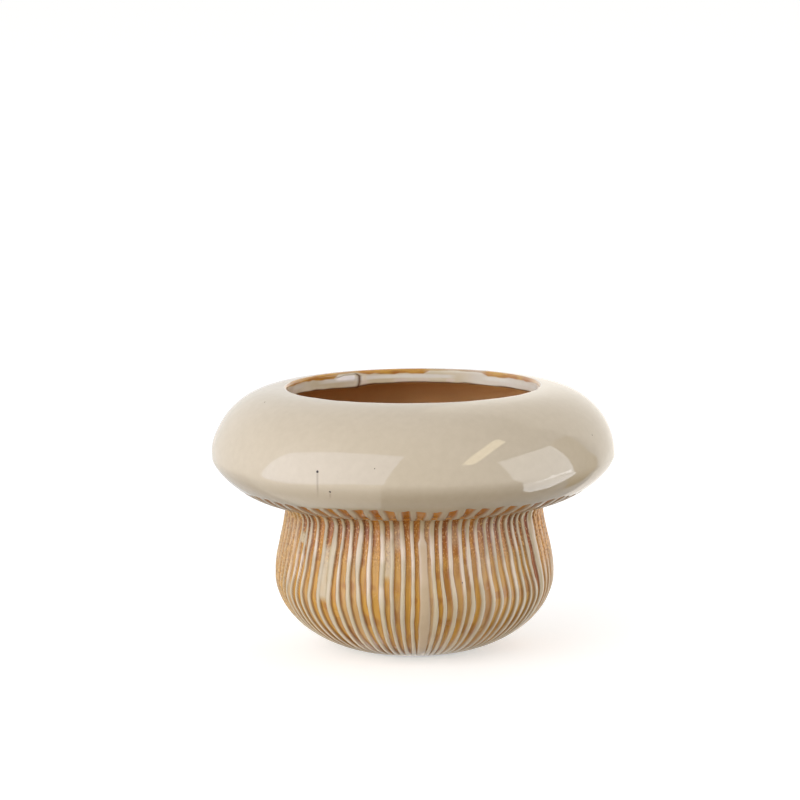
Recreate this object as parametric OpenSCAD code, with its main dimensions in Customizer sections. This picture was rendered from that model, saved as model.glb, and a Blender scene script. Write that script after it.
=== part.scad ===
// Mushroom flower pot: a ribbed bowl for a stem, a hollow domed cap luted onto it, and fused glazes.
// The origin is the middle of the footprint on the table, +Z is up, and all sizes are in millimetres.

/* [Cap] */
// Widest diameter of the cap, over its glaze
cap_d = 199.6; // [190:0.2:230]
// Height of the dome, from its widest line up to the lip of the mouth
dome_h = 34.6; // [24:0.1:42]
// Height of the cap's underside, from the crease up to the widest line
underside_h = 21.5; // [16:0.1:32]
// Fullness of the dome's curve, where 2 is an ellipse
dome_power = 2.055; // [1.7:0.005:2.3]
// Fullness of the underside's curve
underside_power = 1.48; // [1.4:0.005:2.3]

/* [Mouth] */
// Clear diameter of the mouth, inside its glaze
mouth_d = 123; // [100:0.5:134]
// Radius that rounds the lip over into the mouth
lip_round = 1.5; // [1.2:0.1:2.5]
// Height of the upright wall inside the mouth, from the top of the lip down
mouth_wall_h = 7.4; // [6.5:0.1:12]

/* [Stem] */
// Height above the table of the crease, where the cap's underside is lowest
crease_h = 75.2; // [60:0.1:95]
// Diameter that the stem's flank draws in to, over its ribs
neck_d = 127.6; // [120:0.2:134]
// Radius of the hollow curve that leads from the stem out to the crease
flare_r = 5.8; // [3:0.1:8]
// Widest diameter of the stem over its ribs
belly_d = 138.6; // [136:0.2:160]
// Height of the stem's widest line above the table
belly_h = 38.3; // [34:0.1:48]
// Diameter of the flat foot
foot_d = 55.5; // [52:0.5:64]
// Radius at which the bowl's curve would lie level
bowl_core_r = 15; // [10:0.5:20]
// Fullness of the bowl's curve
bowl_power = 1.95; // [1.8:0.005:2.3]

/* [Walls] */
// Thickness of the clay wall
wall_t = 6; // [5:0.1:8]
// Thickness of the clay floor
floor_t = 7; // [5:0.1:12]
// Radius inside the pot where the stem opens into the cap
neck_round = 4; // [2:0.5:5]

/* [Neck seam] */
// Depth of the spigot that centres the cap in the stem
spigot_h = 2; // [1:0.1:3]
// Thickness of the spigot's wall
spigot_t = 2.2; // [1.5:0.1:2.6]
// Gap round and under the spigot, which fired slip fills
spigot_gap = 0.2; // [0.1:0.05:0.4]

/* [Ribs and gills] */
// Number of ribs round the stem
rib_count = 80; // [60:1:90]
// Width of a rib as a share of the spacing
rib_share = 0.48; // [0.4:0.01:0.7]
// How far a rib stands out of its grooves
rib_h = 1.3; // [0.9:0.1:1.8]
// Diameter near the foot where the grooves between the ribs run out
groove_end_d = 70; // [68:1:84]
// Length over which a groove rises to its end
groove_ramp = 8; // [4:0.5:12]
// Number of gills under the cap
gill_count = 70; // [50:1:80]
// Width of a gill as a share of the spacing
gill_share = 0.38; // [0.3:0.01:0.7]
// How far a gill stands out of its grooves
gill_h = 1.2; // [0.9:0.1:1.8]
// How far in from the cap's widest line the gills run out and the cream glaze begins
gill_inset = 10.6; // [8:0.1:14]

/* [Glaze] */
// Thickness of the cream glaze on the cap
cream_t = 0.8; // [0.4:0.1:0.9]
// Bare clay left at the bottom of the wall inside the mouth, under the cream glaze
lap_bare = 0.4; // [0.2:0.1:4]
// Thickness of the amber glaze in the grooves
amber_t = 0.5; // [0.3:0.05:0.8]

/* [Foot pads] */
// Number of pads under the foot
pad_count = 4; // [3:1:6]
// Diameter of a pad
pad_d = 11; // [6:0.5:12]
// Thickness of a pad
pad_t = 2; // [1:0.1:3]
// How far a pad stands out of the foot
pad_proud = 0.5; // [0.3:0.1:0.9]
// Diameter of the circle through the pads' middles
pad_circle_d = 38; // [34:0.5:40]
// Gap round a pad in its socket
pad_gap = 0.25; // [0.1:0.05:0.5]

/* [Hidden] */
$fn = 96;

cap_r = cap_d / 2;
mouth_r = mouth_d / 2;
neck_r = neck_d / 2;
belly_r = belly_d / 2;
foot_r = foot_d / 2;
gill_r = cap_r - gill_inset;
groove_end_r = groove_end_d / 2;

foot_z = pad_proud;
rim_z = crease_h + underside_h;
lip_z = rim_z + dome_h;
lip_r = mouth_r + lip_round;
// Heights at which the wall inside the mouth and the cream glaze on it end.
mouth_wall_z = lip_z - mouth_wall_h;
lap_z = mouth_wall_z + lap_bare;

// The stem ends and the cap begins where the flank turns into the hollow curve.
seam_z = crease_h - flare_r;
seam_turn = 180 * flare_r / (crease_h - belly_h);
// The turn of the flank at the floor of the spigot's rebate.
ledge_turn = 180 * (flare_r + spigot_h + spigot_gap) / (crease_h - belly_h);
seam_r = neck_r + (belly_r - neck_r) * ease(seam_turn);
seam_in_r = seam_r - wall_t;
spigot_r = seam_in_r + spigot_t;
crease_r = seam_r + flare_r;

// The bowl's curve passes through the edge of the foot, and would go on to level out at bowl_core_r.
bowl_a = belly_r - bowl_core_r;
foot_share = pow((foot_r - bowl_core_r) / bowl_a, bowl_power);
bowl_b = (belly_h - foot_z) / pow(1 - foot_share, 1 / bowl_power);
// Inside, the bowl's curve levels out on the floor.
bowl_in_b = belly_h - foot_z - floor_t;

// How far a groove's cut reaches past the clay and the crease, and how far inside the cream glaze it ends.
past = 1;
// The radius that the cuts in the stem start from, clear of its widest line.
cut_r = max(belly_r, neck_r, crease_r) + past;
// Straight steps along a long curve, a short one and a small rounding.
long_steps = 10;
short_steps = 5;
round_steps = 4;

function pad_name(i) = str("foot_pad_", i);
function steps(from, to, count) = [for (i = [0:count]) from + (to - from) * i / count];
function without_first(list) = [for (i = [1:len(list) - 1]) list[i]];
function without_last(list) = [for (i = [0:len(list) - 2]) list[i]];
function reversed(list) = [for (i = [len(list) - 1:-1:0]) list[i]];
function last(list) = list[len(list) - 1];
// The point that carries the straight step from b to a on past a.
function beyond(a, b) = a + past * (a - b) / norm(a - b);
// A smooth share from 0 at turn 0 to 1 at turn 180.
function ease(turn) = (1 - cos(turn)) / 2;

// A point on a rounded quarter that reaches out by a and rises by b: level at turn 0, at its top at turn 90.
function quarter(a, b, power, turn) = [a * pow(cos(turn), 2 / power), b * pow(sin(turn), 2 / power)];
// The turn at which a rounded quarter that reaches out by a has come back to x.
function turn_at(x, a, power) = acos(pow(x / a, power / 2));

gill_turn = turn_at(gill_r - crease_r, cap_r - crease_r, underside_power);
gill_end_turn = turn_at(gill_r - past - crease_r, cap_r - crease_r, underside_power);
foot_turn = turn_at(foot_r - bowl_core_r, bowl_a, bowl_power);
end_turn = turn_at(groove_end_r - bowl_core_r, bowl_a, bowl_power);
ramp_turn = turn_at(groove_end_r + groove_ramp - bowl_core_r, bowl_a - rib_h, bowl_power);

// The pot's outline, from inside the mouth over the lip and down to the foot, in stretches.
// Each one can lie at a depth under the outline, such as under the glaze or at a groove's floor.
function lip(depth) = [
    for (a = steps(180, 90, round_steps))
        [lip_r + (lip_round - depth) * cos(a), lip_z - lip_round + (lip_round - depth) * sin(a)]
];
function dome(depth) = [
    for (turn = steps(90, 0, long_steps))
        [lip_r, rim_z] + quarter(cap_r - depth - lip_r, dome_h - depth, dome_power, turn)
];
function underside(depth, from, to, count = short_steps) = [
    for (turn = steps(from, to, count))
        let (p = quarter(cap_r - depth - crease_r, underside_h - depth, underside_power, turn))
        [crease_r + p[0], rim_z - p[1]]
];
function flare(depth) = [
    for (a = steps(90, 180, round_steps))
        [crease_r, seam_z] + (flare_r + depth) * [cos(a), sin(a)]
];
function flank(depth, from = seam_turn) = [
    for (turn = steps(from, 180, short_steps))
        [
            neck_r - depth + (belly_r - neck_r) * ease(turn),
            crease_h - (crease_h - belly_h) * turn / 180
        ]
];
function bowl(depth, to, rise, count = long_steps) = [
    for (turn = steps(0, to, count))
        let (p = quarter(bowl_a - depth, rise, bowl_power, turn))
        [bowl_core_r + p[0], belly_h - p[1]]
];
function stem_side(depth, to) = concat(flank(depth), without_first(bowl(depth, to, bowl_b - depth)));

// A slice of a turned outline, as wide as an angle round the pot's axis.
module slice(points, angle) {
    rotate([0, 0, -angle / 2]) rotate_extrude(angle = angle) polygon(points);
}

// A slice in each groove between a number of ribs or gills, whose first one lies on the X axis.
module in_grooves(count, share, points) {
    for (i = [0:count - 1]) rotate([0, 0, (i + 0.5) * 360 / count]) slice(points, (1 - share) * 360 / count);
}

module at_pad(i) {
    rotate([0, 0, 360 * (i - 0.5) / pad_count]) translate([pad_circle_d / 2, 0, 0]) children();
}

// The ribbed clay bowl, with its foot, the pads' sockets and the rebate for the cap's spigot.
module stem() color("#cbb691") difference() {
    rotate_extrude() polygon(concat(
        [[0, foot_z + floor_t]],
        without_first(reversed(bowl(wall_t, 90, bowl_in_b))),
        without_first(reversed(flank(wall_t, ledge_turn))),
        [[spigot_r + spigot_gap, seam_z - spigot_h - spigot_gap], [spigot_r + spigot_gap, seam_z]],
        stem_side(0, foot_turn),
        [[0, foot_z]]
    ));
    in_grooves(rib_count, rib_share, concat(
        [[cut_r, seam_z + past], beyond(flank(rib_h)[0], flank(rib_h)[1])],
        without_first(stem_side(rib_h, ramp_turn)),
        [last(bowl(0, end_turn, bowl_b)), last(bowl(-past, end_turn, bowl_b + past))],
        [[cut_r, foot_z]]
    ));
    for (i = [1:pad_count]) at_pad(i) translate([0, 0, -past])
        cylinder(d = pad_d + 2 * pad_gap, h = pad_t + past);
}

// The clay of the cap: a domed roof, the gilled underside, and the spigot that centres it in the stem.
module cap() color("#9a6a45") difference() {
    difference() {
        rotate_extrude() polygon(concat(
            lip(cream_t),
            without_first(dome(cream_t)),
            without_first(underside(cream_t, 0, gill_turn)),
            underside(0, gill_turn, 90),
            without_first(flare(0)),
            [[spigot_r, seam_z], [spigot_r, seam_z - spigot_h], [seam_in_r, seam_z - spigot_h]],
            [
                for (a = steps(180, 90, round_steps))
                    [seam_in_r + neck_round, crease_h + wall_t - neck_round] + neck_round * [cos(a), sin(a)]
            ],
            reversed(underside(wall_t, 0, 90, long_steps)),
            without_last(without_first(reversed(dome(wall_t)))),
            [[mouth_r + cream_t + wall_t / 2, mouth_wall_z], [mouth_r + cream_t, mouth_wall_z]]
        ));
        in_grooves(rib_count, rib_share, concat(
            [[crease_r + past, crease_h - past], [crease_r + past, crease_h + rib_h]],
            without_last(flare(rib_h)),
            [beyond(last(flare(rib_h)), flare(rib_h)[round_steps - 1]), [seam_r + past, seam_z - past]]
        ));
    }
    in_grooves(gill_count, gill_share, concat(
        [[gill_r, crease_h - past], underside(-past, gill_end_turn, 90)[0]],
        underside(gill_h, gill_end_turn, 90),
        [[crease_r - past, crease_h + gill_h], [crease_r - past, crease_h - past]]
    ));
}

// The cream glaze, from its lap inside the mouth, over the lip and the dome, to the ends of the gills.
module cream_glaze() color("#d9ccb8") rotate_extrude() polygon(concat(
    [[mouth_r, lap_z]],
    lip(0),
    without_first(dome(0)),
    without_first(underside(0, 0, gill_turn)),
    reversed(underside(cream_t, 0, gill_turn)),
    without_first(reversed(dome(cream_t))),
    without_first(reversed(lip(cream_t))),
    [[mouth_r + cream_t, lap_z]]
));

// The amber glaze that pooled between the ribs: a strip in each groove, across the seam to the crease.
module rib_glaze() color("#a8652a") in_grooves(rib_count, rib_share, concat(
    flare(rib_h - amber_t),
    without_first(stem_side(rib_h - amber_t, ramp_turn)),
    reversed(stem_side(rib_h, ramp_turn)),
    without_first(reversed(flare(rib_h)))
));

// The amber glaze between the gills: a strip in each groove.
module gill_glaze() color("#a8652a") in_grooves(gill_count, gill_share, concat(
    underside(gill_h - amber_t, gill_end_turn, 90),
    reversed(underside(gill_h, gill_end_turn, 90))
));

module foot_pad(i) color("#3b3936") at_pad(i) cylinder(d = pad_d, h = pad_t);

stem();
cap();
cream_glaze();
rib_glaze();
gill_glaze();
for (i = [1:pad_count]) foot_pad(i);
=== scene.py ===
import math

import bpy
import numpy as np
from mathutils import Euler, Matrix, Vector


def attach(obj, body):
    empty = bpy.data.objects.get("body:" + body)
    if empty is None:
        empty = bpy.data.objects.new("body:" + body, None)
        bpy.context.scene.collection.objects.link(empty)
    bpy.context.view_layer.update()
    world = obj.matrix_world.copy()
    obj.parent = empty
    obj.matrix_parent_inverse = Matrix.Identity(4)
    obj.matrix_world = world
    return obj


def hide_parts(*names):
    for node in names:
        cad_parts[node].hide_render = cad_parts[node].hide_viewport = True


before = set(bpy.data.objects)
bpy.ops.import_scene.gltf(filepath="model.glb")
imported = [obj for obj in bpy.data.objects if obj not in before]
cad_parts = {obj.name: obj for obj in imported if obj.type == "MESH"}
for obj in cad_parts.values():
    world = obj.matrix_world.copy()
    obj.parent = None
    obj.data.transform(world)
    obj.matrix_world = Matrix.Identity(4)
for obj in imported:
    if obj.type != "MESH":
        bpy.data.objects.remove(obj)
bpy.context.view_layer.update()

# Sizes in millimetres, as in the part's source, but for a lip that stands 0.8 further out than its nominal size.
CAP_R = 99.8
DOME_H = 34.6
UNDERSIDE_H = 21.5
DOME_POWER = 2.055
UNDERSIDE_POWER = 1.48
MOUTH_R = 62.3
LIP_ROUND = 1.5
MOUTH_WALL_H = 7.4
CREASE_H = 75.2
NECK_R = 63.8
FLARE_R = 5.8
BELLY_R = 69.3
BELLY_H = 38.3
FOOT_R = 27.75
FOOT_Z = 0.5
BOWL_CORE_R = 15.0
BOWL_POWER = 1.95
WALL_T = 6.0
FLOOR_T = 7.0
NECK_ROUND = 4.0
SPIGOT_H = 2.0
SPIGOT_T = 2.2
SPIGOT_GAP = 0.2
RIBS = 80
RIB_H = 1.3
GROOVE_END_R = 35.0
GILLS = 70
GILL_H = 1.2
GILL_R = 89.2
CREAM_T = 0.8

# Sizes of the visual skins alone.
MM = 0.001            # metres in a millimetre
COLUMNS = 1120        # points round a glazed skin
CLAY_COLUMNS = 360    # points round a clay body
GLAZE_BACK = 0.5      # from the bottom of the grooves to the inner side of the glaze
CLAY_BACK = 0.6       # from the bottom of the grooves to the clay
STEM_LAP = 0.5        # how far the stem's glaze reaches out under the cap's
CAP_LAP = 0.4         # how far the cap's glaze reaches in over the stem's
RIB_W = 2.35
RIB_EDGE = 0.42       # slope between a rib and its groove
RIB_CROWN = 0.34      # from the middle of a crest down to its sides
FILL_LEVEL = 0.82     # share of a groove's depth that glaze in it takes up
GILL_W = 3.4
GILL_CROWN = 0.12
DENT_H = 0.6          # the dent on the cap's right
BULGE_H = 0.7         # the bulge on the cap's left
LAP_THIN = 0.86       # how much thinner the glaze in the mouth is at its lower edge
RUN_H = 0.75          # the run of glaze in the mouth
BACK_ROWS = 44        # rows on the inner side of the stem's glaze

# Gloss of the glaze, and more roughness over the gills and in the grooves.
CAP_ROUGH, GILL_ROUGH = 0.012, 0.12
STEM_ROUGH, GROOVE_ROUGH = 0.16, 0.10
GLAZE_IOR = 1.52
CLAY_IOR = 1.45

RIM_Z = CREASE_H + UNDERSIDE_H
LIP_Z = RIM_Z + DOME_H
LIP_R = MOUTH_R + LIP_ROUND
LIP_ROUND_Z = LIP_Z - LIP_ROUND
MOUTH_WALL_Z = LIP_Z - MOUTH_WALL_H
LAP_LOW = MOUTH_WALL_Z + 0.1
SEAM_Z = CREASE_H - FLARE_R


def ease(turn):
    return (1 - np.cos(turn)) / 2


SEAM_TURN = math.pi * FLARE_R / (CREASE_H - BELLY_H)
LEDGE_TURN = math.pi * (FLARE_R + SPIGOT_H + SPIGOT_GAP) / (CREASE_H - BELLY_H)
SEAM_R = NECK_R + (BELLY_R - NECK_R) * float(ease(SEAM_TURN))
CREASE_R = SEAM_R + FLARE_R
SEAM_IN_R = SEAM_R - WALL_T
BOWL_A = BELLY_R - BOWL_CORE_R
FOOT_SHARE = ((FOOT_R - BOWL_CORE_R) / BOWL_A) ** BOWL_POWER
BOWL_B = (BELLY_H - FOOT_Z) / (1 - FOOT_SHARE) ** (1 / BOWL_POWER)


# Outlines, as in the part's source: distance from the axis and height.
def quarter(a, b, power, turn):
    c = np.clip(np.cos(turn), 0, 1)
    s = np.clip(np.sin(turn), 0, 1)
    return np.stack([a * c ** (2 / power), b * s ** (2 / power)], axis=-1)


def arc(x, z, r, start, end, count):
    t = np.radians(np.linspace(start, end, count))
    return np.stack([x + r * np.cos(t), z + r * np.sin(t)], axis=-1)


def dome(depth, count=400):
    return np.array([LIP_R, RIM_Z]) + quarter(
        CAP_R - depth - LIP_R, DOME_H - depth, DOME_POWER, np.linspace(math.pi / 2, 0, count))


def underside(depth, count=400):
    p = quarter(CAP_R - depth - CREASE_R, UNDERSIDE_H - depth, UNDERSIDE_POWER, np.linspace(0, math.pi / 2, count))
    return np.stack([CREASE_R + p[:, 0], RIM_Z - p[:, 1]], axis=-1)


def flank(depth, count=200, start=SEAM_TURN):
    t = np.linspace(start, math.pi, count)
    return np.stack([
        NECK_R - depth + (BELLY_R - NECK_R) * ease(t),
        CREASE_H - (CREASE_H - BELLY_H) * t / math.pi,
    ], axis=-1)


def bowl(depth, rise, end, count=400):
    p = quarter(BOWL_A - depth, rise, BOWL_POWER, np.linspace(0, end, count))
    return np.stack([BOWL_CORE_R + p[:, 0], BELLY_H - p[:, 1]], axis=-1)


def outer_bowl(depth, count=400):
    """The bowl of the stem down to the foot's edge, this deep under its outside."""
    end = math.acos(((FOOT_R - BOWL_CORE_R) / (BOWL_A - depth)) ** (BOWL_POWER / 2))
    return bowl(depth, BOWL_B - depth, end, count)


def joined(*stretches):
    out = [np.asarray(stretches[0], float)]
    for s in stretches[1:]:
        s = np.asarray(s, float)
        if np.linalg.norm(s[0] - out[-1][-1]) < 1e-6:
            s = s[1:]
        out.append(s)
    return np.concatenate(out)


def lengths(line):
    return np.concatenate([[0], np.cumsum(np.linalg.norm(np.diff(line, axis=0), axis=1))])


def resampled(line, stations):
    at = lengths(line)
    return np.stack([np.interp(stations, at, line[:, 0]), np.interp(stations, at, line[:, 1])], axis=-1)


def normals(line):
    d = np.gradient(line, axis=0)
    d /= np.linalg.norm(d, axis=1)[:, None]
    return np.stack([-d[:, 1], d[:, 0]], axis=-1)


def spaced(line, step):
    """Stations along a line, as far apart as step says at each place."""
    at = lengths(line)
    out = [0.0]
    while out[-1] < at[-1] - 1e-9:
        s = out[-1]
        p = (np.interp(s, at, line[:, 0]), np.interp(s, at, line[:, 1]))
        out.append(min(at[-1], s + step(*p)))
    if len(out) > 2 and out[-1] - out[-2] < 0.3 * (out[-2] - out[-3]):
        out.pop(-2)
    return np.array(out)


def grid(line, step):
    """Rows of an outline, with each point's degrees from the front, share of a turn, place along, radius and height."""
    stations = spaced(line, step)
    rows = resampled(line, stations)
    deg = np.linspace(0, 360, COLUMNS, endpoint=False)
    deg = np.where(deg >= 180, deg - 360, deg)
    deg = np.repeat(deg[None, :], len(rows), axis=0)
    spread = [np.repeat(a[:, None], COLUMNS, axis=1) for a in (stations, rows[:, 0], rows[:, 1])]
    return (rows, deg, (deg % 360) / 360, *spread)


# Soft steps and patterns.
def smooth(x):
    x = np.clip(x, 0, 1)
    return x * x * (3 - 2 * x)


def step_up(x, low, high):
    return smooth((x - low) / (high - low))


def step_down(x, low, high):
    return smooth((high - x) / (high - low))


def window(x, a, b, c, d):
    """Rises from 0 at a to 1 at b, and falls from 1 at c to 0 at d."""
    return step_up(x, a, b) * step_down(x, c, d)


def hump(x, middle, width):
    return np.exp(-((x - middle) / width) ** 2)


def looked_up(x, table):
    """A value that a table gives at some places, as (place, value), at all of them."""
    places, values = zip(*table)
    return np.interp(x, places, values)


def noise(u, v, seed, across, along):
    """Smooth seeded noise from -1 to 1. It wraps as u goes from 0 to 1, and v is a length in cells of 1 / along."""
    rng = np.random.default_rng(seed)
    rows = 64
    cells = rng.uniform(-1, 1, (rows, across))
    x = np.mod(u, 1.0) * across
    y = np.mod(v * along, rows)
    i, j = np.floor(x).astype(int), np.floor(y).astype(int)
    fx, fy = x - i, y - j
    fx, fy = fx * fx * (3 - 2 * fx), fy * fy * (3 - 2 * fy)
    i0, i1, j0, j1 = i % across, (i + 1) % across, j % rows, (j + 1) % rows
    top = cells[j0, i0] * (1 - fx) + cells[j0, i1] * fx
    low = cells[j1, i0] * (1 - fx) + cells[j1, i1] * fx
    return top * (1 - fy) + low * fy


def ring_noise(u, seed, across):
    """Noise that changes only round the pot."""
    return noise(u, 0 * u, seed, across, 1)


# Colours, as linear light.
def lin(r, g, b):
    """A colour in the numbers of a picture, from 0 to 255, as linear light."""
    c = np.array([r, g, b], float) / 255
    return np.where(c <= 0.04045, c / 12.92, ((c + 0.055) / 1.055) ** 2.4)


def blend(base, over, share):
    share = np.asarray(share)[..., None]
    return base * (1 - share) + over * share


def mottled(first, second, pattern):
    """Two colours mixed by a pattern that goes from -1 to 1."""
    return blend(np.broadcast_to(first, pattern.shape + (3,)), second, 0.5 + 0.5 * pattern)


def toned(colour, share, change):
    """A colour whose red, green and blue change by these parts of themselves where the share is 1."""
    return colour * (1 + share[..., None] * np.array(change))


CREAM = lin(209, 197, 172)
GREY_CREAM = lin(196, 186, 166)
AMBER = lin(200, 152, 62)
TAN = lin(195, 155, 94)
GOLD = lin(200, 156, 76)
PALE_GOLD = lin(232, 172, 92)
BROWN = lin(150, 86, 32)
DARK = lin(108, 56, 18)
CLAY = lin(168, 116, 78)


# Meshes from rings of points round the axis. Angle 0 looks at the camera, and it grows to the right.
def ring_points(line, angles):
    r, z = line[..., 0], line[..., 1]
    return np.stack([r * np.sin(angles), -r * np.cos(angles), z + 0 * angles], axis=-1)


def add_mesh(name, points, faces, colours=None, scalars=None):
    mesh = bpy.data.meshes.new(name)
    mesh.from_pydata((np.asarray(points) * MM).tolist(), [], faces)
    mesh.polygons.foreach_set("use_smooth", [True] * len(mesh.polygons))
    if colours is not None:
        a = mesh.attributes.new("tint", "FLOAT_COLOR", "POINT")
        with_alpha = np.concatenate([colours, np.ones((len(colours), 1))], axis=1)
        a.data.foreach_set("color", with_alpha.astype(np.float32).ravel())
    for key, values in (scalars or {}).items():
        a = mesh.attributes.new(key, "FLOAT", "POINT")
        a.data.foreach_set("value", np.asarray(values, np.float32))
    mesh.update()
    obj = bpy.data.objects.new(name, mesh)
    bpy.context.scene.collection.objects.link(obj)
    return obj


def loop_faces(rows, columns, closed):
    """Quads between rings of points. A closed one joins its last ring to its first."""
    count = rows if closed else rows - 1
    i = np.arange(count)[:, None]
    j = np.arange(columns)[None, :]
    k = (i + 1) % rows
    l = (j + 1) % columns
    quads = np.stack([i * columns + j, k * columns + j, k * columns + l, i * columns + l], axis=-1)
    return quads.reshape(-1, 4)


def skin(name, rows, back, height, colours, scalars, sag=0.0):
    """A closed ring of glaze: its outer rows in detail, and its smooth inner side. Sag is how far the glaze hangs."""
    angles = np.linspace(0, 2 * math.pi, COLUMNS, endpoint=False)
    line = rows[:, None, :] + normals(rows)[:, None, :] * height[:, :, None]
    line[..., 1] -= sag
    outer = ring_points(line, angles[None, :])
    inner = ring_points(np.repeat(back[:, None, :], COLUMNS, axis=1), angles[None, :])
    points = np.concatenate([outer, inner]).reshape(-1, 3)
    faces = loop_faces(len(rows) + len(back), COLUMNS, True).tolist()

    def with_back(values):
        return np.concatenate([values, np.repeat(values[-1:], len(back), axis=0)])

    tint = with_back(colours).reshape(-1, 3)
    return add_mesh(name, points, faces, tint, {k: with_back(v).reshape(-1) for k, v in scalars.items()})


def turned(name, line, closed):
    """A turned body. An open line starts and ends on the axis, where triangles close it."""
    angles = np.linspace(0, 2 * math.pi, CLAY_COLUMNS, endpoint=False)
    body = line if closed else line[1:-1]
    points = ring_points(np.repeat(body[:, None, :], CLAY_COLUMNS, axis=1), angles[None, :]).reshape(-1, 3)
    faces = loop_faces(len(body), CLAY_COLUMNS, closed).tolist()
    if not closed:
        first, last = len(points), len(points) + 1
        points = np.concatenate([points, [[0, 0, line[0, 1]], [0, 0, line[-1, 1]]]])
        base = (len(body) - 1) * CLAY_COLUMNS
        for j in range(CLAY_COLUMNS):
            k = (j + 1) % CLAY_COLUMNS
            faces.append([j, k, first])
            faces.append([base + k, base + j, last])
    return add_mesh(name, points, faces)


# How the carving wanders: small shifts of each rib and gill, and of whole runs of ribs, as (rib, degrees).
rng = np.random.default_rng(11)
RIB_JITTER = rng.uniform(-0.45, 0.45, RIBS)
RIB_WIDTH = 1.0 + rng.uniform(-0.14, 0.16, RIBS)
GROOVE_TONE = rng.uniform(0, 1, RIBS)
GROOVE_DARK = rng.uniform(0, 1, RIBS)
GILL_JITTER = rng.uniform(-0.35, 0.35, GILLS)
GILL_TONE = rng.uniform(0, 1, GILLS)

UPPER_WANDER = [
    (-22, 0), (-15, 1.0), (-13, 0), (-10, -2), (-8, 0.3), (-5, -1.4), (-2, -0.3), (0, -0.3),
    (3, -1.8), (6, -3.2), (10, -4.5), (14, -7.0), (16, -3.0), (22, 0)]
LOWER_WANDER = [
    (-22, 0), (-15, -3), (-12, -5), (-10, -3.7), (-7, -1.2), (-2, -0.7), (0, -0.4), (2, -0.4),
    (6, -1.8), (10, -2), (14, -1.5), (22, 0)]

# Ribs that are unlike the others, by number. They count from 0 in front and grow to the right.
DOUBLE_RIB = 1
BROAD_RIB = 15
BROWN_GROOVE = 14

# Ribs that swell, as (rib, height, half length, more width).
SWELLS = [
    (-8, 57, 9, 1.6), (-5, 58, 7, 1.1), (-11, 64, 5, 1.2), (-3, 40, 12, 0.4), (8, 30, 10, 0.5),
    (24, 50, 9, 1.6), (33, 34, 12, 1.3), (-24, 44, 9, 1.5), (-31, 58, 7, 1.2), (39, 28, 12, 1.4)]

# Glaze that filled a groove, as (groove, height, half length, amount). A groove has the number of the rib on its left.
FILLS = [
    (-9, 47, 13, 1.0), (-3, 56, 9, 0.9), (1, 50, 40, 0.35), (-2, 66, 5, 0.5), (4, 66, 4, 0.4),
    (22, 52, 12, 0.9), (30, 60, 8, 0.8), (37, 38, 14, 0.9), (-19, 57, 10, 0.8), (-27, 40, 14, 0.9),
    (-35, 62, 7, 0.8), (27, 22, 8, 0.7), (-14, 30, 9, 0.5)]

# Beads of cream glaze, as (degrees, height, radius).
BEADS = [(-56.5, 62.0, 2.2), (104, 55, 1.8), (-163, 48, 2.0), (139, 30, 1.5)]


def stem_step(r, z):
    """How far apart the stem's rows are."""
    return 0.45 if z > 68 else 0.7 if r > 45 else 0.6


def rib_phase(degrees, heights, warp):
    """Where each point lies among the ribs, as a number that is whole on the middle of a rib."""
    k = np.arange(-RIBS // 2 - 1, RIBS // 2 + 2)
    share = step_up(heights, 28, 50)[:, None]
    middles = (360 / RIBS) * k + RIB_JITTER[k % RIBS]
    up = middles + looked_up(k, UPPER_WANDER)
    low = middles + looked_up(k, LOWER_WANDER)
    phase = np.empty(degrees.shape)
    for i in range(len(heights)):
        phase[i] = np.interp(degrees[i] + warp[i], share[i] * up + (1 - share[i]) * low, k)
    return phase


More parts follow.
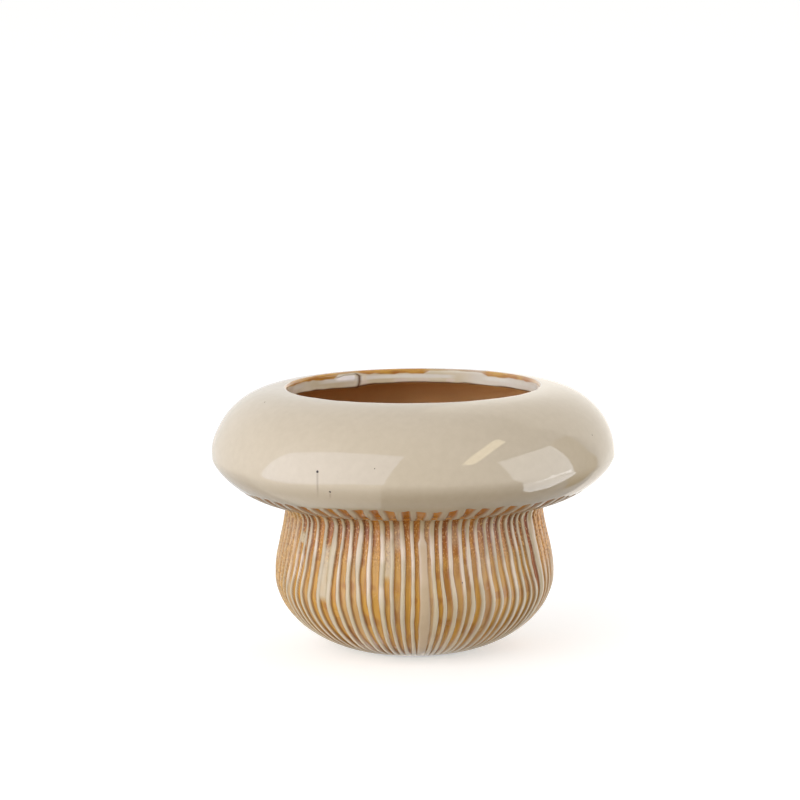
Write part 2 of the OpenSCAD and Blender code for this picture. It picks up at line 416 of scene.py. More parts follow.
def stem_skin():
    """The stem's glaze, from the crease under the cap to the foot."""
    line = joined(
        [[CREASE_R + STEM_LAP, CREASE_H]],
        arc(CREASE_R, SEAM_Z, FLARE_R, 90, 180, 120),
        flank(0),
        outer_bowl(0),
    )
    rows, deg, u, _, r, z = grid(line, stem_step)

    # Ribs and grooves.
    warp = 0.55 * noise(u, z, 21, 30, 1 / 26) + 0.28 * noise(u, z, 22, 80, 1 / 11)
    phase = rib_phase(deg, rows[:, 1], warp)
    rib = np.round(phase).astype(int)
    groove = np.floor(phase).astype(int)
    pitch = 2 * math.pi * r / RIBS
    distance = np.abs(phase - rib) * pitch
    uneven = 1 + 0.16 * noise(u, z, 23, 80, 1 / 9) + 0.10 * noise(u, z, 24, 160, 1 / 5)
    width = RIB_W * RIB_WIDTH[rib % RIBS] * uneven
    width = width + np.where(rib == DOUBLE_RIB, 2.1 * step_down(z, 63, 66), 0)
    width = width + np.where(rib == BROAD_RIB, 1.9, 0)
    for number, middle, half, more in SWELLS:
        width = width + np.where(rib == number, more * hump(z, middle, half), 0)
    in_groove = step_up(distance, width / 2 - 0.6 * RIB_EDGE, width / 2 + RIB_EDGE)
    from_crest = distance / np.maximum(width / 2, 0.4)

    # Cream glaze that fills some grooves, and beads of it.
    fill = np.zeros_like(z)
    for number, middle, half, amount in FILLS:
        here = amount * step_down(np.abs(z - middle), half - 2, half + 3)
        fill = np.maximum(fill, np.where(groove == number, here, 0))
    fill = fill * (0.85 + 0.15 * noise(u, z, 25, 160, 1 / 4))
    beads = np.zeros_like(z)
    for angle, middle, radius in BEADS:
        off = np.hypot(np.radians(deg - angle) * r, (z - middle) / 1.3)
        beads = np.maximum(beads, step_down(off, radius - 0.5, radius + 0.4))
    fill = np.maximum(fill, beads)

    # Height of the surface over the outline: grooves, round crests and a slight unevenness.
    runs_out = step_up(r, GROOVE_END_R - 3.0, GROOVE_END_R + 7 + 2 * ring_noise(u, 26, 80))
    depth = RIB_H * in_groove * (1 - FILL_LEVEL * fill) * (0.15 + 0.85 * runs_out) * (1 - 0.75 * step_up(z, 72.8, 74.9))
    crown = RIB_CROWN * np.clip(from_crest, 0, 1.2) ** 2 * (1 - in_groove)
    height = -depth - crown + 0.05 * noise(u, z, 27, 160, 1 / 3) + 0.03 * noise(u, z, 28, 320, 1 / 1.6)
    height = np.minimum(height, 0.12) * step_up(r, FOOT_R, FOOT_R + 2.5)

    # The glaze that pooled in the grooves, from amber to brown, and darkest at the top.
    tone = np.clip(GROOVE_TONE[groove % RIBS] + 0.45 * noise(u, z, 31, 80, 1 / 16), 0, 1)
    dark_groove = GROOVE_DARK[groove % RIBS]
    pool = blend(AMBER, TAN, step_up(tone, 0.45, 0.95))
    pool = blend(pool, BROWN, 0.35 * step_up(noise(u, z, 32, 160, 1 / 7), 0.1, 0.8))
    top_dark = step_up(z + 3 * ring_noise(u, 35, 80), 50, 68) * (0.35 + 0.65 * dark_groove)
    pool = blend(pool, BROWN, 0.8 * top_dark)
    pool = blend(pool, DARK, 0.5 * step_up(z, 62, 71) * dark_groove)
    pool = blend(pool, lin(152, 72, 14), np.where(groove == BROWN_GROOVE, 0.85 * step_up(z, 30, 42), 0))
    pool = blend(pool, lin(160, 98, 34), 0.55 * step_up(noise(u, z, 39, 80, 1 / 6), 0.35, 0.75))
    streak = noise(u, z, 36, 640, 1 / 9)
    pool = toned(pool, streak, 0.10)
    pool = toned(pool, step_up(z, 52, 68), (0.16, 0.0, -0.45))
    pool = blend(pool, CREAM * 0.93, fill)

    # The crests: cream, with painted shade at their sides, painted highlights, and clay showing on the double rib.
    crest = mottled(CREAM, GREY_CREAM, noise(u, z, 33, 80, 1 / 14))
    crest = blend(crest, GREY_CREAM * 0.92, np.where(rib == DOUBLE_RIB, 0.9 * step_down(z, 46, 56), 0))
    # Painted shade: each crest is greyer towards its sides, as a round rib turns from the light.
    crest = blend(crest, lin(172, 160, 132), 0.55 * step_up(from_crest, 0.35, 1.0))
    # Painted highlight: pale streaks on the crests, higher up the stem.
    painted_crest_highlight = step_up(noise(u, z, 37, 80, 1 / 12), -0.3, 0.4) * window(z, 30, 46, 66, 71)
    crest = blend(crest, lin(232, 220, 208), 0.8 * painted_crest_highlight)
    crest = blend(crest, lin(200, 180, 154), np.where(rib == DOUBLE_RIB, 0.75 * step_down(z, 60, 66), 0))

    # Both together, with a brown line along each rib, cream at the foot, painted light low down, and painted shade at
    # the top under the cap.
    in_pool = step_up(distance, width / 2 - 0.30, width / 2 + 0.22)
    tint = blend(crest, pool, in_pool)
    rim_line = hump(distance, width / 2 + 0.05, 0.28) * (1 - 0.8 * fill)
    # The brown line is glaze pooled at each rib's edge. It is stronger on each rib's right side, as painted shade.
    tint = blend(tint, BROWN * 0.68, np.where(phase > rib, 0.62, 0.40) * rim_line)
    foot_edge = GROOVE_END_R + 4 + 3 * noise(u, z, 34, 80, 1 / 5)
    tint = blend(tint, CREAM * 0.9, 0.85 * step_down(r, foot_edge - 6, foot_edge))
    # Painted light: the lower stem is made lighter. Painted shade: the top, under the cap's overhang, is made darker.
    painted_light_low = 1 + 0.20 * step_down(z, 8, 26)
    tint = toned(tint * painted_light_low[..., None], step_up(z, 58, 72), (-0.22, -0.28, -0.38))

    # On either flank, and once on the back, the glaze ran thin and gold over the ribs too.
    patchy = 0.75 + 0.25 * noise(u, z, 38, 240, 1 / 5)
    streaked = (painted_light_low * (1 + 0.22 * streak))[..., None]
    gold_left = step_up(-deg - 9 * step_down(z, 36, 52), 54, 66) * step_up(deg, -122, -100)
    gold_back = window(deg, 150, 160, 176, 192)
    golden = np.maximum(gold_left, gold_back) * step_up(z, 10, 26)
    tint = blend(tint, GOLD * streaked, 0.82 * golden * patchy * (1 - 0.8 * beads))
    gold_right = window(deg, 66.5, 68, 96, 112) * (0.35 + 0.65 * step_up(z, 42, 54))
    tint = blend(tint, PALE_GOLD * streaked, 0.85 * gold_right * patchy)

    # Where the glaze is grainy: on the golden patches, in the grooves before the right one, and at the top, where the
    # pale grains also stand in as painted glints.
    speck = 0.55 * golden + gold_right * step_up(z, 38, 52)
    speck = np.clip(speck + hump(deg, 58, 13) * step_up(z, 46, 62) * in_pool, 0, 1)
    speck = np.maximum(speck, 0.55 * step_up(z, 46, 58) * np.maximum(in_pool, rim_line))

    back = RIB_H + GLAZE_BACK
    behind = joined(
        outer_bowl(back)[::-1],
        flank(back)[::-1],
        arc(CREASE_R, SEAM_Z, FLARE_R + back, 180, 90, 60),
        [[CREASE_R + STEM_LAP, CREASE_H + back]],
    )
    behind = resampled(behind, np.linspace(0, 1, BACK_ROWS) * lengths(behind)[-1])
    warmer = np.array([1.04, 0.985, 0.90])
    scalars = {"speck": speck, "rough": STEM_ROUGH + GROOVE_ROUGH * in_pool}
    return skin("stem_glaze", rows, behind, height, tint * warmer, scalars)


# The amber band on the inner edge of the lip, as (degrees, value) going round from the front to the right: how deep
# it reaches down the wall in the mouth, how far out it reaches on the lip, how strong it is, and where it is brown.
BAND_DEPTH = [
    (0, 0.8), (40, 0.9), (90, 1.2), (105, 1.6), (122, 2.0), (142, 2.3), (146, 0.8), (160, 0.7), (172, 0.8), (175, 2.2),
    (188, 2.5), (201, 2.2), (204, 1.5), (207, 0.7), (217, 0.7), (220, 2.6), (231, 2.3), (240, 1.7), (256, 1.7),
    (272, 1.9), (300, 1.2), (330, 0.9), (360, 0.8)]
BAND_OUT = [
    (0, 63.1), (90, 63.2), (120, 63.7), (143, 64.4), (147, 63.7), (172, 64.0), (176, 65.8), (200, 65.8), (207, 64.2),
    (219, 64.4), (224, 64.6), (234, 63.7), (270, 63.1), (360, 63.1)]
BAND_STRENGTH = [
    (0, 0.35), (40, 0.5), (95, 0.55), (112, 0.85), (135, 0.95), (143, 0.95), (147, 0.6), (171, 0.6), (175, 1.0),
    (204, 1.0), (208, 0.8), (217, 0.8), (222, 1.0), (240, 1.0), (268, 0.95), (290, 0.7), (330, 0.4), (360, 0.35)]
BAND_BROWN = [(143, 0), (148, 0.7), (171, 0.5), (176, 0), (205, 0), (210, 0.5), (218, 0)]

# How far the glaze in the mouth hangs below its edge beside the run, as (degrees, millimetres).
MOUTH_SAG = [(0, 0), (198, 0), (205.5, 0.9), (206.8, 1.35), (240, 0), (360, 0)]


def cap_step(r, z):
    """How far apart the cap's rows are: closest on the lip and in the mouth, then over the gills."""
    return 0.3 if r < MOUTH_R + 3 and z > 120 else 0.5 if z < RIM_Z and r < GILL_R + 2 else 1.0


def cap_skin():
    """The cap's glaze, from inside the mouth over the lip, the dome and the gills to the crease."""
    line = joined(
        [[MOUTH_R, LAP_LOW], [MOUTH_R, LIP_ROUND_Z]],
        arc(LIP_R, LIP_ROUND_Z, LIP_ROUND, 180, 90, 60),
        dome(0),
        underside(0),
        [[CREASE_R - CAP_LAP, CREASE_H]],
    )
    rows, deg, u, at, r, z = grid(line, cap_step)
    turn = deg % 360
    down = LIP_Z - z
    below = z < RIM_Z
    inside = (r < LIP_R) & (z > RIM_Z)

    # Gills and the gaps between them.
    k = np.arange(-GILLS // 2 - 1, GILLS // 2 + 2)
    middles = (360 / GILLS) * k + GILL_JITTER[k % GILLS]
    phase = np.interp(deg + 0.35 * noise(u, at, 41, 70, 1 / 9), middles, k)
    gap = np.floor(phase).astype(int)
    distance = np.abs(phase - np.round(phase)) * 2 * math.pi * r / GILLS
    width = GILL_W * (1 + 0.20 * noise(u, at, 42, 70, 1 / 8))
    start = GILL_R - 1.2 + 1.3 * ring_noise(u, 43, 70) + 0.5 * ring_noise(u, 44, 210)
    gills = below * step_down(r, start - 1.8, start)
    in_gap = step_up(distance, width / 2 - 0.4, width / 2 + 0.5)
    near_crease = below * step_down(r, CREASE_R + 0.4, CREASE_R + 4.2)
    height = -GILL_H * in_gap * gills * (1 - 0.7 * near_crease)
    height = height - GILL_CROWN * gills * (distance / (width / 2)) ** 2 * (1 - in_gap)

    # Long low waves in the dome, a dent on the right and a bulge on the left.
    waves = 0.10 * noise(u, at, 45, 7, 1 / 34) + 0.035 * noise(u, at, 46, 17, 1 / 15) - 0.12
    height = height + step_up(at, 7.5, 14) * (1 - gills) * waves
    height = height - DENT_H * hump(deg, 75, 7) * hump(z, 96.5, 3.4) * (r > 90)
    height = height + BULGE_H * hump(deg, -88, 24) * hump(z, 103, 6.5) * (r > 85)

    # In the mouth the glaze thins to an uneven edge, and one thick run of it comes down.
    lap_edge = 0.30 + 0.32 * ring_noise(u, 47, 23) + 0.2 * ring_noise(u, 48, 70)
    thin = inside * step_down(z - LAP_LOW, lap_edge - 0.25, lap_edge + 0.6)
    height = height - LAP_THIN * thin
    height = height + inside * 0.10 * noise(u, at, 49, 60, 1 / 2.5) * (1 - thin)
    height = height + inside * RUN_H * window(turn, 207.4, 209.4, 216, 220) * hump(down, 3.9, 1.5)

    # Cream on the dome, amber to dark in the gaps, a thin amber line at the crease, and painted shade on the underside.
    cream = mottled(lin(214, 201, 182), lin(204, 190, 168), noise(u, at, 51, 9, 1 / 30))
    cream = blend(cream, GREY_CREAM * 0.9, 0.55 * below * step_down(r, start - 1, start + 6))
    pool = blend(lin(196, 127, 28), lin(172, 98, 16), GILL_TONE[gap % GILLS])
    pool = blend(pool, DARK, 0.2 * step_up(noise(u, at, 52, 140, 1 / 3), 0.2, 0.9))
    in_pool = step_up(distance, width / 2 - 0.45, width / 2 + 0.55) * below * step_down(r, start - 1.5, start - 0.2)
    tint = blend(cream, pool, in_pool)
    tint = blend(tint, BROWN * 0.8, 0.12 * gills * hump(distance, width / 2, 0.3))
    crease_edge = CREASE_H + 1.0 + 0.3 * ring_noise(u, 50, 140)
    tint = blend(tint, lin(206, 150, 84), 0.8 * below * step_down(z, crease_edge - 0.7, crease_edge))
    # Painted shade: the underside of the cap, which faces down, is darkened.
    painted_shade_underneath = (at > 20) * step_down(z, 89, 99)
    tint = toned(tint, painted_shade_underneath * (1 - 0.6 * in_pool), (-0.26, -0.30, -0.37))

    # The wall in the mouth: pale, with a white patch and a gleam along it.
    wall = mottled(lin(238, 230, 212), lin(222, 208, 174), noise(u, at, 58, 36, 1 / 3))
    wall = blend(wall, lin(240, 226, 218), 0.6 * step_up(noise(u, at, 59, 60, 1 / 2), 0.1, 0.7))
    wall = blend(wall, lin(246, 242, 236), 0.8 * window(turn, 80, 100, 146, 164))
    gleam = window(down, 2.3, 3.1, 4.0, 5.0) * step_up(ring_noise(u, 60, 26), -0.6, 0.1)
    wall = blend(wall, lin(252, 250, 245), 0.8 * gleam)
    tint = blend(tint, wall, 0.9 * inside)

    # The glaze breaks to amber where it thinned on the inner edge of the lip.
    ochre = mottled(lin(214, 162, 56), lin(176, 108, 30), noise(u, at, 56, 90, 1 / 1.2))
    ochre = blend(ochre, lin(186, 112, 14), 0.6 * step_up(ring_noise(u, 57, 90), 0.1, 0.6))
    ochre = blend(ochre, lin(150, 96, 48), looked_up(turn, BAND_BROWN))
    band_low = looked_up(turn, BAND_DEPTH) * (1 + 0.16 * ring_noise(u, 53, 40) + 0.12 * ring_noise(u, 54, 120))
    band_out = looked_up(turn, BAND_OUT) + 0.25 * ring_noise(u, 55, 60)
    band = step_down(down, band_low - 0.3, band_low + 0.3) * step_down(r, band_out - 0.4, band_out + 0.3) * (z > RIM_Z)
    tint = blend(tint, ochre, 0.95 * band * looked_up(turn, BAND_STRENGTH))

    # The run, left of the middle: a painted highlight on its face, the line over it, the dark gap beside it, and a
    # painted highlight beside the gap.
    # Painted highlight: the run's face is painted near white.
    painted_highlight_on_run = window(turn, 207.8, 209.0, 216.5, 219.5) * window(down, 1.7, 2.2, 3.6, 4.4)
    tint = blend(tint, lin(250, 244, 244), 0.95 * inside * painted_highlight_on_run)
    line_over = hump(down, 1.45 + 0.9 * step_up(turn, 213, 218.5), 0.22) * window(turn, 207.5, 208.5, 218, 219.5)
    tint = blend(tint, lin(124, 84, 44), 0.85 * inside * line_over)
    gap_at = 205.9 + 1.9 * step_down(down, 0.8, 2.6) + 0.6 * step_up(down, 4.5, 7.0)
    dark_gap = hump(turn, gap_at, 0.85) * step_up(down, 0.7, 1.3)
    tint = blend(tint, lin(104, 66, 34), 0.92 * inside * dark_gap)
    # Painted highlight: a pale strip beside the dark gap.
    painted_highlight_by_gap = hump(turn, 203.3, 1.1) * window(down, 1.9, 2.4, 4.0, 5.2)
    tint = blend(tint, lin(246, 236, 214), 0.7 * inside * painted_highlight_by_gap)
    tint = blend(tint, CLAY * 0.55, thin)

    behind = joined(
        [[CREASE_R - CAP_LAP, CREASE_H + GILL_H + GLAZE_BACK]],
        underside(GILL_H + GLAZE_BACK, 20)[::-1][:-1],
        dome(CREAM_T + 0.1, 24)[::-1],
        arc(LIP_R, LIP_ROUND_Z, LIP_ROUND - CREAM_T, 90, 180, 5),
        [[MOUTH_R + CREAM_T + 0.12, LAP_LOW]],
    )
    sag = looked_up(turn, MOUTH_SAG) * inside * step_up(down, 2.8, 7.0)
    scalars = {"speck": 0.0 * z, "rough": CAP_ROUGH + GILL_ROUGH * gills}
    return skin("cap_glaze", rows, behind, height, tint, scalars, sag)


stem_glaze = stem_skin()
cap_glaze = cap_skin()

# Clay bodies: the hollow cap with its spigot, and the bowl of the stem, bare inside.
WALL_IN_R = MOUTH_R + CREAM_T
SOCKET_R = SEAM_IN_R + SPIGOT_T + SPIGOT_GAP
cap_clay = turned("cap_clay", joined(
    [[WALL_IN_R, MOUTH_WALL_Z + 0.4], [WALL_IN_R, LIP_ROUND_Z]],
    arc(LIP_R, LIP_ROUND_Z, LIP_ROUND - CREAM_T - 0.05, 180, 90, 6),
    dome(CREAM_T + 0.15, 40),
    underside(GILL_H + CLAY_BACK, 40)[1:],
    arc(CREASE_R, SEAM_Z, FLARE_R + RIB_H + CLAY_BACK, 90, 180, 14)[1:],
    [[SEAM_IN_R + SPIGOT_T, SEAM_Z], [SEAM_IN_R + SPIGOT_T, SEAM_Z - SPIGOT_H], [SEAM_IN_R, SEAM_Z - SPIGOT_H]],
    arc(SEAM_IN_R + NECK_ROUND, CREASE_H + WALL_T - NECK_ROUND, NECK_ROUND, 180, 90, 10),
    underside(WALL_T, 50)[::-1],
    dome(WALL_T, 60)[::-1][1:-4],
    [[WALL_IN_R + 4.4, LIP_Z - WALL_T - 0.6], [WALL_IN_R + 3.2, MOUTH_WALL_Z + 0.3],
     [WALL_IN_R + 2.6, MOUTH_WALL_Z], [WALL_IN_R + 0.5, MOUTH_WALL_Z]],
), True)
stem_clay = turned("stem_clay", joined(
    [[0, FOOT_Z + FLOOR_T]],
    bowl(WALL_T, BELLY_H - FOOT_Z - FLOOR_T, math.pi / 2, 60)[::-1],
    flank(WALL_T, 30, LEDGE_TURN)[::-1],
    [[SOCKET_R, SEAM_Z - SPIGOT_H - SPIGOT_GAP], [SOCKET_R, SEAM_Z]],
    flank(RIB_H + CLAY_BACK, 30),
    outer_bowl(RIB_H + CLAY_BACK, 50),
    [[FOOT_R - 0.8, FOOT_Z + 0.1], [FOOT_R - 1.6, FOOT_Z], [0, FOOT_Z]],
), False)


# Materials. Lengths in them are in metres, and a pattern's scale is in cells per metre.
def material(name):
    m = bpy.data.materials.new(name)
    m.use_nodes = True
    t = m.node_tree
    t.nodes.clear()
    out = t.nodes.new("ShaderNodeOutputMaterial")
    shader = t.nodes.new("ShaderNodeBsdfPrincipled")
    t.links.new(shader.outputs["BSDF"], out.inputs["Surface"])
    return m, t, shader


def node(tree, kind, **values):
    n = tree.nodes.new(kind)
    for k, v in values.items():
        if k in n.inputs:
            n.inputs[k].default_value = v
        else:
            setattr(n, k, v)
    return n


def mathn(tree, operation, a, b=None):
    n = node(tree, "ShaderNodeMath", operation=operation)
    for i, v in enumerate((a, b)):
        if v is None:
            continue
        if isinstance(v, (int, float)):
            n.inputs[i].default_value = v
        else:
            tree.links.new(v, n.inputs[i])
    return n.outputs[0]


def times(tree, a, b):
    return mathn(tree, "MULTIPLY", a, b)


def mixed(tree, factor, a, b, mode="MIX"):
    n = tree.nodes.new("ShaderNodeMix")
    n.data_type = "RGBA"
    n.blend_type = mode
    for socket, v in ((n.inputs["Factor"], factor), (n.inputs[6], a), (n.inputs[7], b)):
        if isinstance(v, (int, float)):
            socket.default_value = v
        elif isinstance(v, (tuple, np.ndarray)):
            socket.default_value = (*[float(x) for x in v], 1.0)
        else:
            tree.links.new(v, socket)
    return n.outputs[2]


def place(tree):
    return tree.nodes.new("ShaderNodeTexCoord").outputs["Object"]


def apart(tree, vector):
    """The x, y and z of a vector."""
    n = node(tree, "ShaderNodeSeparateXYZ")
    tree.links.new(vector, n.inputs[0])
    return n.outputs


def noise_tex(tree, vector, scale, detail, rough=0.55, stretch=None):
    if stretch:
        m = node(tree, "ShaderNodeMapping", Scale=stretch)
        tree.links.new(vector, m.inputs["Vector"])
        vector = m.outputs["Vector"]
    n = node(tree, "ShaderNodeTexNoise", Scale=scale, Detail=detail, Roughness=rough)
    tree.links.new(vector, n.inputs["Vector"])
    return n.outputs["Fac"]


def ramp(tree, value, low, high, to_low=0.0, to_high=1.0):
    n = node(tree, "ShaderNodeMapRange", clamp=True)
    tree.links.new(value, n.inputs["Value"])
    for socket, v in zip(("From Min", "From Max", "To Min", "To Max"), (low, high, to_low, to_high)):
        n.inputs[socket].default_value = v
    return n.outputs["Result"]


def attribute(tree, name, output):
    return node(tree, "ShaderNodeAttribute", attribute_name=name).outputs[output]


def add_bump(tree, shader, height, strength, distance):
    b = node(tree, "ShaderNodeBump", Strength=strength, Distance=distance)
    tree.links.new(height, b.inputs["Height"])
    tree.links.new(b.outputs["Normal"], shader.inputs["Normal"])


def on_pot(degrees, r, z):
    """A place on the pot in metres, from degrees round from the front, radius and height in millimetres."""
    a = math.radians(degrees)
    return (r * math.sin(a) * MM, -r * math.cos(a) * MM, z * MM)


# Pinholes in the glaze, as (place in metres, size and length of the faint run below it in millimetres).
CAP_HOLES = [
    (on_pot(-27.3, 99.3, 102.5), 1.1, 14),
    (on_pot(-23.8, 98.2, 93.0), 0.9, 4),
    (on_pot(-65.8, 79.1, 128.1), 0.6, 0),
    (on_pot(-10.7, 98.8, 105.1), 0.45, 0),
    (on_pot(64.3, 96.3, 111.9), 0.5, 0),
    (on_pot(-150, 92.0, 117.6), 0.8, 0),
    (on_pot(156, 98.9, 104.0), 0.8, 0),
]
STEM_HOLES = [(on_pot(-24.2, 68.5, 54.0), 0.9, 0), (on_pot(19.3, 68.8, 44.0), 0.9, 0)]
HOLE_DARK, HOLE_END = 0.45, 0.75    # shares of its size where a pinhole starts to fade, and where it ends

# How much each pattern counts in the height of the glaze's bump.
HOLE_DEPTH = 6.0
GRAIN_HEIGHT = 1.3
CAP_PEEL, STEM_PEEL = 0.08, 0.35


def faint_run(t, p, base, centre, length):
    """A faint line in the colour, straight down from a pinhole on the pot's front."""
    x, y, z = apart(t, p)
    top = centre[2]
    near = ramp(t, mathn(t, "ABSOLUTE", mathn(t, "SUBTRACT", x, centre[0])), 0.0002, 0.0007, 1, 0)
    low = ramp(t, z, top - length * MM, top - length * 0.6 * MM, 0, 1)
    high = ramp(t, z, top - 0.0002, top - 0.0012, 0, 1)
    front = ramp(t, y, -0.05, -0.06, 0, 1)
    run = times(t, times(t, near, low), times(t, high, front))
    return mixed(t, times(t, run, 0.42), base, lin(140, 122, 104))


def glaze(name, holes, peel_height, grainy):
    """Glossy glaze in the mesh's own tint, with clouds, flecks, pinholes, a little orange peel, and grain if asked."""
    m, t, s = material(name)
    p = place(t)
    base = attribute(t, "tint", "Color")
    cloud = noise_tex(t, p, 260, 4)
    base = mixed(t, ramp(t, cloud, 0.3, 0.7), mixed(t, 1.0, base, (0.955, 0.95, 0.94), "MULTIPLY"), base)
    fleck = noise_tex(t, p, 2300, 2, 0.6)
    base = mixed(t, ramp(t, fleck, 0.70, 0.80, 0, 0.35), base, lin(150, 128, 98))
    peel = noise_tex(t, p, 420, 3)
    dots = None
    for centre, size, run_length in holes:
        d = node(t, "ShaderNodeVectorMath", operation="DISTANCE")
        t.links.new(p, d.inputs[0])
        d.inputs[1].default_value = centre
        dot = ramp(t, d.outputs["Value"], size * HOLE_DARK * MM, size * HOLE_END * MM, 1, 0)
        base = mixed(t, dot, base, lin(60, 48, 40))
        if run_length:
            base = faint_run(t, p, base, centre, run_length)
        dots = dot if dots is None else mathn(t, "MAXIMUM", dots, dot)
    height = times(t, peel, peel_height)
    if grainy:
        grain = noise_tex(t, p, 1400, 2, 0.6, (1, 1, 0.6))
        share = attribute(t, "speck", "Fac")
        light = times(t, ramp(t, grain, 0.575, 0.64), share)
        dark = times(t, ramp(t, grain, 0.44, 0.38), share)
        # Pale grains are partly the glaze's own grain and partly painted glints. The dark grains are the glaze's own.
        base = mixed(t, times(t, light, 0.85), base, lin(246, 202, 126))
        base = mixed(t, times(t, dark, 0.70), base, lin(120, 62, 22))
        height = mathn(t, "ADD", height, times(t, times(t, grain, share), GRAIN_HEIGHT))
    height = mathn(t, "SUBTRACT", height, times(t, dots, HOLE_DEPTH))
    add_bump(t, s, height, 0.35, 0.00008)
    t.links.new(base, s.inputs["Base Color"])
    uneven = ramp(t, noise_tex(t, p, 90, 3), 0.35, 0.75, 0, 0.018)
    t.links.new(mathn(t, "ADD", attribute(t, "rough", "Fac"), uneven), s.inputs["Roughness"])
    s.inputs["IOR"].default_value = GLAZE_IOR
    return m


def bare_clay(name):
    """Matt terracotta with cloudy tone, grain and faint turning rings, and painted light that makes it paler on the
    right, where the light reaches.
    """
    m, t, s = material(name)
    p = place(t)
    wide = noise_tex(t, p, 26, 4)
    base = mixed(t, ramp(t, wide, 0.3, 0.7), lin(214, 172, 121), lin(199, 156, 106))
    grain = noise_tex(t, p, 1700, 3, 0.6)
    base = mixed(t, ramp(t, grain, 0.62, 0.78, 0, 0.45), base, lin(168, 120, 84))
    base = mixed(t, ramp(t, grain, 0.36, 0.24, 0, 0.35), base, lin(226, 186, 150))
    turning = noise_tex(t, p, 240, 2, 0.5, (0.05, 0.05, 1))
    base = mixed(t, ramp(t, turning, 0.4, 0.7, 0, 0.25), base, lin(188, 138, 98))
    painted_light_right = ramp(t, apart(t, p)[0], -0.01, 0.06)
    base = mixed(t, painted_light_right, base, mixed(t, 1.0, base, (1.35, 1.55, 1.8), "MULTIPLY"))
    add_bump(t, s, mathn(t, "ADD", times(t, grain, 0.5), turning), 0.5, 0.0003)
    t.links.new(base, s.inputs["Base Color"])
    t.links.new(ramp(t, wide, 0.2, 0.8, 0.82, 0.95), s.inputs["Roughness"])
    s.inputs["IOR"].default_value = CLAY_IOR
    return m


def soft_pad(name):
    m, t, s = material(name)
    grain = noise_tex(t, place(t), 2400, 3, 0.6)
    base = mixed(t, ramp(t, grain, 0.35, 0.7), lin(58, 56, 53), lin(84, 81, 77))
    add_bump(t, s, grain, 0.4, 0.0001)
    t.links.new(base, s.inputs["Base Color"])
    t.links.new(ramp(t, grain, 0.3, 0.7, 0.72, 0.9), s.inputs["Roughness"])
    return m


cap_glaze_material = glaze("cream_glaze", CAP_HOLES, CAP_PEEL, False)
stem_glaze_material = glaze("ribbed_glaze", STEM_HOLES, STEM_PEEL, True)
clay_material = bare_clay("bare_clay")
pad_material = soft_pad("soft_pad")

for obj, mat in ((cap_glaze, cap_glaze_material), (stem_glaze, stem_glaze_material),
                 (cap_clay, clay_material), (stem_clay, clay_material)):
    obj.data.materials.append(mat)
    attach(obj, "root")
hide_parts("cream_glaze", "gill_glaze")
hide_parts("rib_glaze")
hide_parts("cap")
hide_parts("stem")

for name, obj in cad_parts.items():
    if name.startswith("foot_pad"):
        obj.data.materials.clear()
        obj.data.materials.append(pad_material)


# Floor, world and lamps. The floor looks white, but it lights the pot no more than a grey one does.
def empty_tree(owner, output):
    """The owner's node tree with nothing in it but an output of this kind."""
    owner.use_nodes = True
    owner.node_tree.nodes.clear()
    return owner.node_tree, owner.node_tree.nodes.new(output)


FLOOR_HALF = 30.0
FLOOR_GREY = 0.8
FLOOR_GLOW = 0.5
floor_mesh = bpy.data.meshes.new("floor")
floor_mesh.from_pydata(
    [(x * FLOOR_HALF, y * FLOOR_HALF, 0) for x, y in ((-1, -1), (1, -1), (1, 1), (-1, 1))], [], [(0, 1, 2, 3)])
floor = bpy.data.objects.new("floor", floor_mesh)
bpy.context.scene.collection.objects.link(floor)
floor.visible_glossy = False
floor_material = bpy.data.materials.new("floor")
floor_mesh.materials.append(floor_material)
tree, out = empty_tree(floor_material, "ShaderNodeOutputMaterial")
diffuse = node(tree, "ShaderNodeBsdfDiffuse", Color=(FLOOR_GREY, FLOOR_GREY, FLOOR_GREY, 1))
glow = node(tree, "ShaderNodeEmission", Color=(1, 1, 1, 1))
path = node(tree, "ShaderNodeLightPath")
seen = mathn(tree, "MAXIMUM", path.outputs["Is Camera Ray"],
             mathn(tree, "MAXIMUM", path.outputs["Is Glossy Ray"], path.outputs["Is Transmission Ray"]))
tree.links.new(times(tree, seen, FLOOR_GLOW), glow.inputs["Strength"])
both = node(tree, "ShaderNodeAddShader")
tree.links.new(diffuse.outputs[0], both.inputs[0])
tree.links.new(glow.outputs[0], both.inputs[1])
tree.links.new(both.outputs[0], out.inputs["Surface"])

# The world is dimmer on the camera's side and below.
world = bpy.data.worlds.new("studio")
bpy.context.scene.world = world
tree, out = empty_tree(world, "ShaderNodeOutputWorld")
sky = node(tree, "ShaderNodeBackground", Color=(1.0, 0.99, 0.975, 1))
tree.links.new(sky.outputs[0], out.inputs["Surface"])
_, y, z = apart(tree, node(tree, "ShaderNodeTexCoord").outputs["Generated"])
behind = ramp(tree, y, -0.1, 0.75, 0.46, 1.0)
under = ramp(tree, z, -0.9, -0.05, 0.45, 1.0)
tree.links.new(times(tree, behind, under), sky.inputs["Strength"])


def panel(name, corners, strength, colour, diffuse=False, glossy=True):
    """A glowing panel with these corners, in metres. No camera sees it, and it throws no shadow."""
    mesh = bpy.data.meshes.new(name)
    mesh.from_pydata(corners, [], [tuple(range(len(corners)))])
    obj = bpy.data.objects.new(name, mesh)
    bpy.context.scene.collection.objects.link(obj)
    obj.visible_camera = False
    obj.visible_shadow = False
    obj.visible_diffuse = diffuse
    obj.visible_glossy = glossy
    mat = bpy.data.materials.new(name)
    tree, out = empty_tree(mat, "ShaderNodeOutputMaterial")
    light = node(tree, "ShaderNodeEmission", Color=(*colour, 1), Strength=strength)
    tree.links.new(light.outputs[0], out.inputs["Surface"])
    mesh.materials.append(mat)


CARD_CENTRE = Vector((0, 0, 0.1))


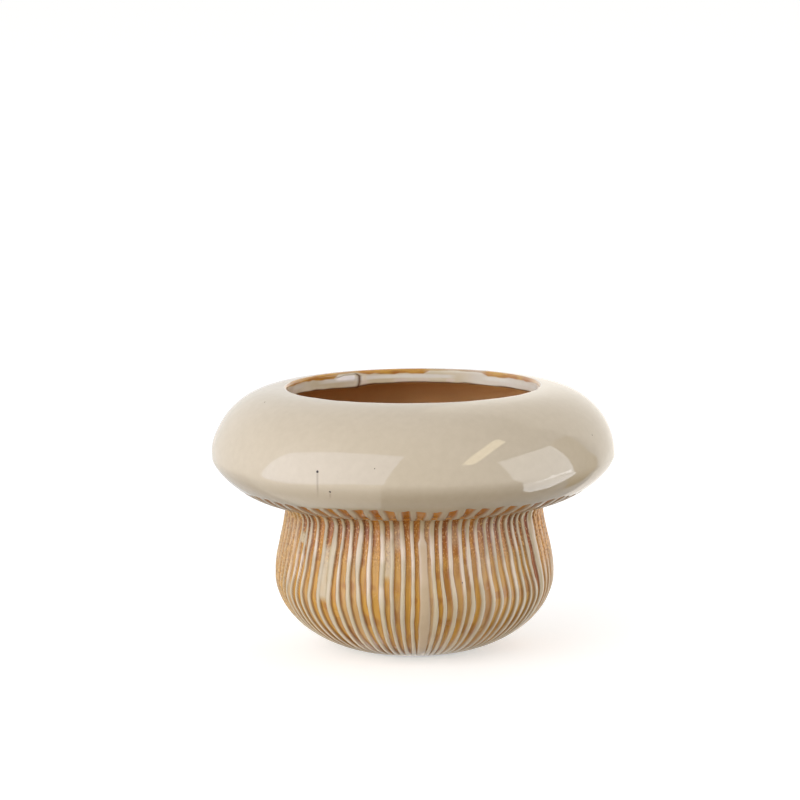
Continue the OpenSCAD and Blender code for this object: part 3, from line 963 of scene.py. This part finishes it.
def card(name, corners, strength, colour, distance=3.0, **seen_by):
    """A panel whose corners lie in these directions from the cap, as degrees round from the front and degrees up."""
    lines = []
    for azimuth, elevation in corners:
        a, e = math.radians(azimuth), math.radians(elevation)
        lines.append(Vector((math.cos(e) * math.sin(a), -math.cos(e) * math.cos(a), math.sin(e))))
    middle = sum(lines, Vector()).normalized()
    points = [tuple(CARD_CENTRE + line * (distance / line.dot(middle))) for line in lines]
    panel(name, points, strength, colour, **seen_by)


def lamp(name, corners, strength, colour, distance=3.0):
    """A card that lights surfaces and doesn't show in them."""
    card(name, corners, strength, colour, distance, diffuse=True, glossy=False)


lamp("key_left", [(-8, 30), (-75, 32), (-85, -13), (-15, -8)], 3.05, (0.985, 0.99, 1.0))
lamp("window_left", [(-20, 12), (-70, 12), (-70, 44), (-20, 44)], 1.7, (1, 0.98, 0.96))
lamp("fill_right", [(55, 30), (92, 30), (120, -40), (60, -12)], 1.75, (1, 0.99, 0.98))
lamp("front_window", [(-42, 9), (8, 9), (8, 28), (-42, 28)], 1.55, (1, 0.99, 0.97), 4.3)

# Cards that show only as reflections in the glaze.
COOL_WHITE = (0.95, 0.97, 1.0)
card("card_left", [
    (-6, 38), (-52, 37), (-80, 25), (-95, -7), (-93, -30), (-82, -35), (-36, -8), (-17, -8), (-10, 22),
], 2.45, (0.75, 0.81, 1.0))
panel("card_left_low", [
    (-6.2, -20, -2.9), (-0.63, -0.76, -2.9), (-0.42, 0.75, -2.9), (-0.3, 3, -2.9), (-9, 3, -2.9), (-14, -20, -2.9),
], 1.1, (1.0, 0.97, 0.9))
card("card_strip", [
    (28, 22), (37, 34), (62, 50), (69, 51), (70, 46), (54, 38), (41, 27), (34, 20),
], 4.6, (1, 0.86, 0.58))
card("card_right", [
    (50, 20), (64, 24), (92, 26), (97, 8), (101, -5), (117, -37), (126, -47), (124, -54), (112, -56), (97, -53),
    (80, -45), (66, -26), (58, -10),
], 2.75, COOL_WHITE)
card("card_right_low", [
    (79, -44), (84, -36), (83, -8), (93, -6), (101, -5), (117, -37), (126, -47), (124, -54), (112, -56), (97, -53),
], 3.3, COOL_WHITE, 2.9)
card("card_right_line", [
    (83, -45), (84, -36), (83, -8), (93, -6), (99, -5), (100, -9), (89, -14), (89, -36), (90, -48),
], 5.6, COOL_WHITE, 2.8)
card("card_dark", [
    (92, 26), (100, 29), (112, 27), (117, 6), (127, -3), (135, -25), (147, -33), (146, -39), (117, -37), (101, -5),
    (97, 8),
], 0.4, (1, 0.74, 0.3), 3.3)
card("card_back_right", [
    (112, 30), (132, -4), (142, -26), (178, -30), (178, 50), (112, 50),
], 1.3, (1, 0.96, 0.90), 3.6)

# Camera, at the photograph's viewing angle.
CAMERA_DISTANCE = 1.8905
CAMERA_ELEVATION = math.radians(9.65)
CAMERA_AIM_Z = 0.0672
CAMERA_TILT = math.radians(90 - 7.9427)
CAMERA_PAN = math.radians(0.1972)
CAMERA_ROLL = math.radians(-0.549)
cam_data = bpy.data.cameras.new("camera")
cam_data.sensor_width = 36.0
cam_data.lens = 171.0
cam_data.clip_end = 200
cam = bpy.data.objects.new("camera", cam_data)
bpy.context.scene.collection.objects.link(cam)
bpy.context.scene.camera = cam
cam.location = (
    0, -CAMERA_DISTANCE * math.cos(CAMERA_ELEVATION), CAMERA_AIM_Z + CAMERA_DISTANCE * math.sin(CAMERA_ELEVATION))
cam.rotation_mode = "XYZ"
aim = Euler((CAMERA_TILT, 0, CAMERA_PAN)).to_matrix()
cam.rotation_euler = (aim @ Matrix.Rotation(CAMERA_ROLL, 3, "Z")).to_euler()

bpy.context.scene.view_settings.view_transform = "Standard"
